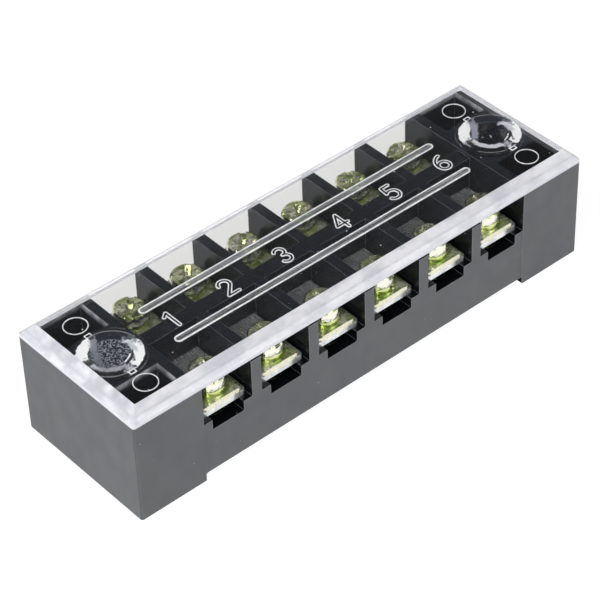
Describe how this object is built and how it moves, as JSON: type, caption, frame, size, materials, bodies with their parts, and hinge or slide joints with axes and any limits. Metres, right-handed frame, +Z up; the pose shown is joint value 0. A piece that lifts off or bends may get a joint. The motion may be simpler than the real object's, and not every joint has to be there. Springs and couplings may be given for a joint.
{
  "type": "barrier terminal strip",
  "caption": "Dual-row barrier terminal strip: black moulded housing, plated bars under screws with captive washers, and a clear push-fit cover.",
  "frame": {"origin": "middle of the plane that the two feet stand on, under the middle of the strip", "axes": "+X along the row of poles, +Y across the strip towards the rear row, +Z up to the cover"},
  "size_m": [0.0724, 0.022, 0.0166],
  "materials": {
    "housing": "black glass-filled thermoplastic, fine matt moulding",
    "cover": "clear polycarbonate, polished flats, bevels with a milky look",
    "terminal_bar": "tin-plated brass, satin",
    "washer": "zinc-plated steel with a yellow-green passivation",
    "screw": "zinc-plated steel with a yellow-green passivation"
  },
  "bodies": {
    "housing": {"housing": "housing", "terminal_bar_1": "terminal_bar", "terminal_bar_2": "terminal_bar", "terminal_bar_3": "terminal_bar", "terminal_bar_4": "terminal_bar", "terminal_bar_5": "terminal_bar", "terminal_bar_6": "terminal_bar"},
    "cover": {"cover": "cover"},
    "washers_front_1": {"clamp_washer_front_1": "washer", "spring_washer_front_1": "washer"},
    "terminal_screw_front_1": {"terminal_screw_front_1": "screw"},
    "washers_rear_1": {"clamp_washer_rear_1": "washer", "spring_washer_rear_1": "washer"},
    "terminal_screw_rear_1": {"terminal_screw_rear_1": "screw"},
    "washers_front_2": {"clamp_washer_front_2": "washer", "spring_washer_front_2": "washer"},
    "terminal_screw_front_2": {"terminal_screw_front_2": "screw"},
    "washers_rear_2": {"clamp_washer_rear_2": "washer", "spring_washer_rear_2": "washer"},
    "terminal_screw_rear_2": {"terminal_screw_rear_2": "screw"},
    "washers_front_3": {"clamp_washer_front_3": "washer", "spring_washer_front_3": "washer"},
    "terminal_screw_front_3": {"terminal_screw_front_3": "screw"},
    "washers_rear_3": {"clamp_washer_rear_3": "washer", "spring_washer_rear_3": "washer"},
    "terminal_screw_rear_3": {"terminal_screw_rear_3": "screw"},
    "washers_front_4": {"clamp_washer_front_4": "washer", "spring_washer_front_4": "washer"},
    "terminal_screw_front_4": {"terminal_screw_front_4": "screw"},
    "washers_rear_4": {"clamp_washer_rear_4": "washer", "spring_washer_rear_4": "washer"},
    "terminal_screw_rear_4": {"terminal_screw_rear_4": "screw"},
    "washers_front_5": {"clamp_washer_front_5": "washer", "spring_washer_front_5": "washer"},
    "terminal_screw_front_5": {"terminal_screw_front_5": "screw"},
    "washers_rear_5": {"clamp_washer_rear_5": "washer", "spring_washer_rear_5": "washer"},
    "terminal_screw_rear_5": {"terminal_screw_rear_5": "screw"},
    "washers_front_6": {"clamp_washer_front_6": "washer", "spring_washer_front_6": "washer"},
    "terminal_screw_front_6": {"terminal_screw_front_6": "screw"},
    "washers_rear_6": {"clamp_washer_rear_6": "washer", "spring_washer_rear_6": "washer"},
    "terminal_screw_rear_6": {"terminal_screw_rear_6": "screw"}
  },
  "joints": [
    {"name": "cover_lift", "type": "slide", "parent": "housing", "child": "cover", "axis": [0, 0, 1], "range_m": [0, 0.01]},
    {"name": "washer_lift_front_1", "type": "slide", "parent": "housing", "child": "washers_front_1", "axis": [0, 0, 1], "range_m": [0, 0.002]},
    {"name": "screw_turn_front_1", "type": "hinge", "parent": "washers_front_1", "child": "terminal_screw_front_1", "pos_m": [-0.0225, -0.00725, 0.012], "axis": [0, 0, 1], "range_deg": [0, 1440]},
    {"name": "washer_lift_rear_1", "type": "slide", "parent": "housing", "child": "washers_rear_1", "axis": [0, 0, 1], "range_m": [0, 0.002]},
    {"name": "screw_turn_rear_1", "type": "hinge", "parent": "washers_rear_1", "child": "terminal_screw_rear_1", "pos_m": [-0.0225, 0.00725, 0.012], "axis": [0, 0, 1], "range_deg": [0, 1440]},
    {"name": "washer_lift_front_2", "type": "slide", "parent": "housing", "child": "washers_front_2", "axis": [0, 0, 1], "range_m": [0, 0.002]},
    {"name": "screw_turn_front_2", "type": "hinge", "parent": "washers_front_2", "child": "terminal_screw_front_2", "pos_m": [-0.0135, -0.00725, 0.012], "axis": [0, 0, 1], "range_deg": [0, 1440]},
    {"name": "washer_lift_rear_2", "type": "slide", "parent": "housing", "child": "washers_rear_2", "axis": [0, 0, 1], "range_m": [0, 0.002]},
    {"name": "screw_turn_rear_2", "type": "hinge", "parent": "washers_rear_2", "child": "terminal_screw_rear_2", "pos_m": [-0.0135, 0.00725, 0.012], "axis": [0, 0, 1], "range_deg": [0, 1440]},
    {"name": "washer_lift_front_3", "type": "slide", "parent": "housing", "child": "washers_front_3", "axis": [0, 0, 1], "range_m": [0, 0.002]},
    {"name": "screw_turn_front_3", "type": "hinge", "parent": "washers_front_3", "child": "terminal_screw_front_3", "pos_m": [-0.0045, -0.00725, 0.012], "axis": [0, 0, 1], "range_deg": [0, 1440]},
    {"name": "washer_lift_rear_3", "type": "slide", "parent": "housing", "child": "washers_rear_3", "axis": [0, 0, 1], "range_m": [0, 0.002]},
    {"name": "screw_turn_rear_3", "type": "hinge", "parent": "washers_rear_3", "child": "terminal_screw_rear_3", "pos_m": [-0.0045, 0.00725, 0.012], "axis": [0, 0, 1], "range_deg": [0, 1440]},
    {"name": "washer_lift_front_4", "type": "slide", "parent": "housing", "child": "washers_front_4", "axis": [0, 0, 1], "range_m": [0, 0.002]},
    {"name": "screw_turn_front_4", "type": "hinge", "parent": "washers_front_4", "child": "terminal_screw_front_4", "pos_m": [0.0045, -0.00725, 0.012], "axis": [0, 0, 1], "range_deg": [0, 1440]},
    {"name": "washer_lift_rear_4", "type": "slide", "parent": "housing", "child": "washers_rear_4", "axis": [0, 0, 1], "range_m": [0, 0.002]},
    {"name": "screw_turn_rear_4", "type": "hinge", "parent": "washers_rear_4", "child": "terminal_screw_rear_4", "pos_m": [0.0045, 0.00725, 0.012], "axis": [0, 0, 1], "range_deg": [0, 1440]},
    {"name": "washer_lift_front_5", "type": "slide", "parent": "housing", "child": "washers_front_5", "axis": [0, 0, 1], "range_m": [0, 0.002]},
    {"name": "screw_turn_front_5", "type": "hinge", "parent": "washers_front_5", "child": "terminal_screw_front_5", "pos_m": [0.0135, -0.00725, 0.012], "axis": [0, 0, 1], "range_deg": [0, 1440]},
    {"name": "washer_lift_rear_5", "type": "slide", "parent": "housing", "child": "washers_rear_5", "axis": [0, 0, 1], "range_m": [0, 0.002]},
    {"name": "screw_turn_rear_5", "type": "hinge", "parent": "washers_rear_5", "child": "terminal_screw_rear_5", "pos_m": [0.0135, 0.00725, 0.012], "axis": [0, 0, 1], "range_deg": [0, 1440]},
    {"name": "washer_lift_front_6", "type": "slide", "parent": "housing", "child": "washers_front_6", "axis": [0, 0, 1], "range_m": [0, 0.002]},
    {"name": "screw_turn_front_6", "type": "hinge", "parent": "washers_front_6", "child": "terminal_screw_front_6", "pos_m": [0.0225, -0.00725, 0.012], "axis": [0, 0, 1], "range_deg": [0, 1440]},
    {"name": "washer_lift_rear_6", "type": "slide", "parent": "housing", "child": "washers_rear_6", "axis": [0, 0, 1], "range_m": [0, 0.002]},
    {"name": "screw_turn_rear_6", "type": "hinge", "parent": "washers_rear_6", "child": "terminal_screw_rear_6", "pos_m": [0.0225, 0.00725, 0.012], "axis": [0, 0, 1], "range_deg": [0, 1440]}
  ],
  "couplings": [
    {"joint": "screw_turn_front_1", "follows": "washer_lift_front_1", "rad_per_m": 12566},
    {"joint": "screw_turn_rear_1", "follows": "washer_lift_rear_1", "rad_per_m": 12566},
    {"joint": "screw_turn_front_2", "follows": "washer_lift_front_2", "rad_per_m": 12566},
    {"joint": "screw_turn_rear_2", "follows": "washer_lift_rear_2", "rad_per_m": 12566},
    {"joint": "screw_turn_front_3", "follows": "washer_lift_front_3", "rad_per_m": 12566},
    {"joint": "screw_turn_rear_3", "follows": "washer_lift_rear_3", "rad_per_m": 12566},
    {"joint": "screw_turn_front_4", "follows": "washer_lift_front_4", "rad_per_m": 12566},
    {"joint": "screw_turn_rear_4", "follows": "washer_lift_rear_4", "rad_per_m": 12566},
    {"joint": "screw_turn_front_5", "follows": "washer_lift_front_5", "rad_per_m": 12566},
    {"joint": "screw_turn_rear_5", "follows": "washer_lift_rear_5", "rad_per_m": 12566},
    {"joint": "screw_turn_front_6", "follows": "washer_lift_front_6", "rad_per_m": 12566},
    {"joint": "screw_turn_rear_6", "follows": "washer_lift_rear_6", "rad_per_m": 12566}
  ]
}
